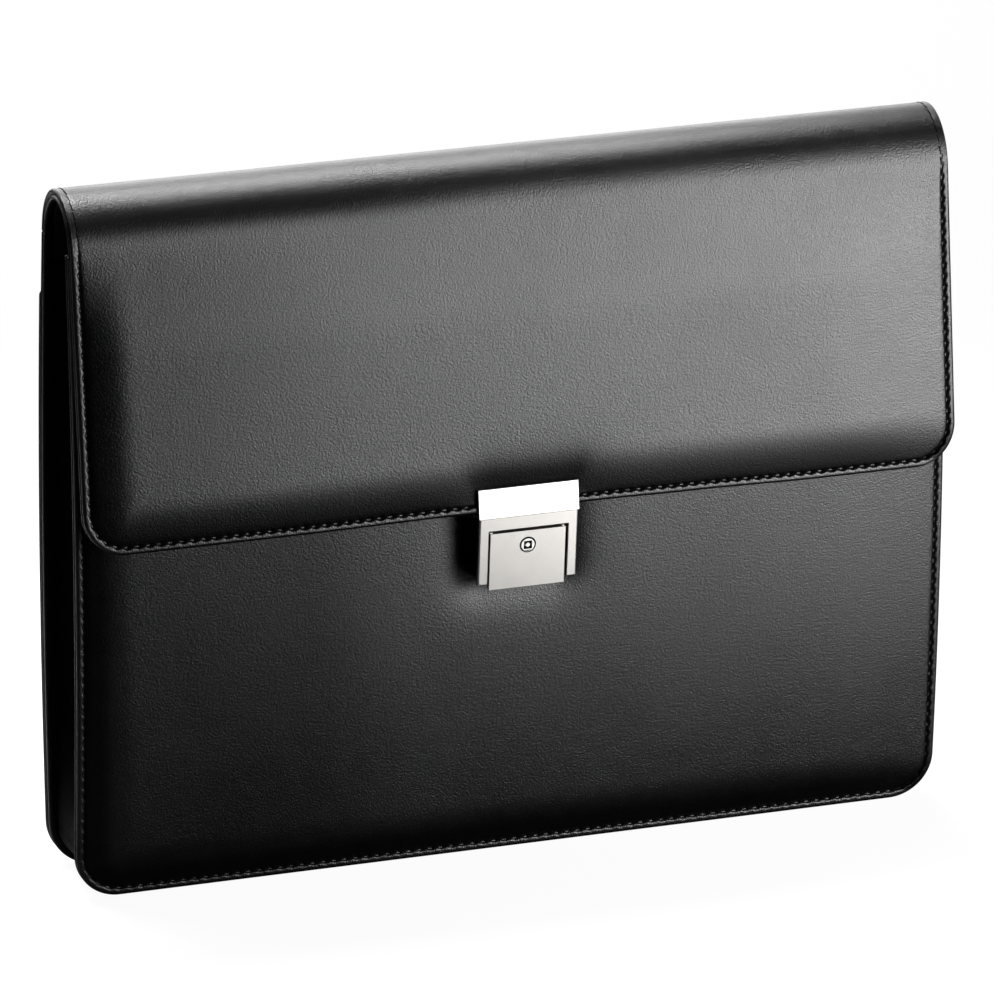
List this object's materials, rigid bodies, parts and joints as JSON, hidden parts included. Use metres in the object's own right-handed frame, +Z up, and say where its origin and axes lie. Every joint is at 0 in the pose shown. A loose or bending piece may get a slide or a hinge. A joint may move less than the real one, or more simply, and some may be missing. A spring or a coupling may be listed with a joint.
{
  "type": "conference folder",
  "caption": "Slim leather document case on its long edge: bowed panels, side gussets, a flap that arches over the top and a press lock with a key cylinder.",
  "frame": {"origin": "centre of the footprint's bounding box at the bottom, on the surface that the case stands on", "axes": "+Z up, +X along the long edge to the right seen from the front, the front and its lock face -Y"},
  "size_m": [0.38, 0.0712, 0.3037],
  "materials": {
    "leather": "black smooth leather with a fine grain, satin gloss",
    "lining": "black woven lining, matt",
    "board": "pressed fibre board, matt",
    "nickel": "satin nickel plate",
    "steel": "plain plated steel",
    "black_metal": "black lacquer, semi-gloss"
  },
  "bodies": {
    "rear": {"rear_panel_skin": "leather", "rear_panel_board": "board", "rear_panel_lining": "lining", "rear_pocket": "leather", "gusset_left": "leather", "gusset_right": "leather", "gusset_bottom": "leather"},
    "arch": {"arch_skin": "leather", "arch_lining": "lining"},
    "flap": {"flap_skin": "leather", "flap_board": "board", "flap_lining": "lining", "clasp_plate": "nickel", "clasp_back_plate": "nickel", "clasp_rivet_left": "steel", "clasp_rivet_right": "steel", "clasp_frame": "nickel", "clasp_keeper": "steel"},
    "front": {"front_panel_skin": "leather", "front_panel_board": "board", "front_panel_lining": "lining", "lock_case": "black_metal", "lock_back_plate": "steel", "lock_screw_left": "steel", "lock_screw_right": "steel", "press_pin": "steel", "press_spring": "steel"},
    "divider": {"divider": "lining", "divider_pocket": "lining"},
    "press": {"press_plate": "nickel", "latch_hook": "steel", "key_sleeve": "steel"},
    "key": {"key_plug": "nickel", "key_cam": "steel"}
  },
  "joints": [
    {"name": "flap_rear_fold", "type": "hinge", "parent": "rear", "child": "arch", "pos_m": [0, 0.02482, 0.28], "axis": [-1, 0, 0], "range_deg": [0, 170]},
    {"name": "flap_front_fold", "type": "hinge", "parent": "arch", "child": "flap", "pos_m": [0, -0.01878, 0.28], "axis": [-1, 0, 0], "range_deg": [0, 95]},
    {"name": "front_panel_spread", "type": "hinge", "parent": "rear", "child": "front", "pos_m": [0, -0.01258, 0], "axis": [1, 0, 0], "range_deg": [0, 6], "deforming": ["gusset_left", "gusset_right"]},
    {"name": "divider_lean", "type": "hinge", "parent": "rear", "child": "divider", "pos_m": [0, 0.00842, 0.00325], "axis": [1, 0, 0], "range_deg": [0, 3]},
    {"name": "press_plate_press", "type": "hinge", "parent": "front", "child": "press", "pos_m": [0, -0.02348, 0.14634], "axis": [1, 0, 0], "range_deg": [0, 6], "stiffness_Nm_per_rad": 0.2, "springref_deg": -2.86},
    {"name": "key_turn", "type": "hinge", "parent": "press", "child": "key", "pos_m": [0, -0.02972, 0.14234], "axis": [0, 0.9957, 0.0924], "range_deg": [0, 90]}
  ],
  "couplings": [
    {"joint": "front_panel_spread", "follows": "flap_rear_fold", "ratio": 0.035},
    {"joint": "divider_lean", "follows": "flap_rear_fold", "ratio": 0.0175}
  ]
}
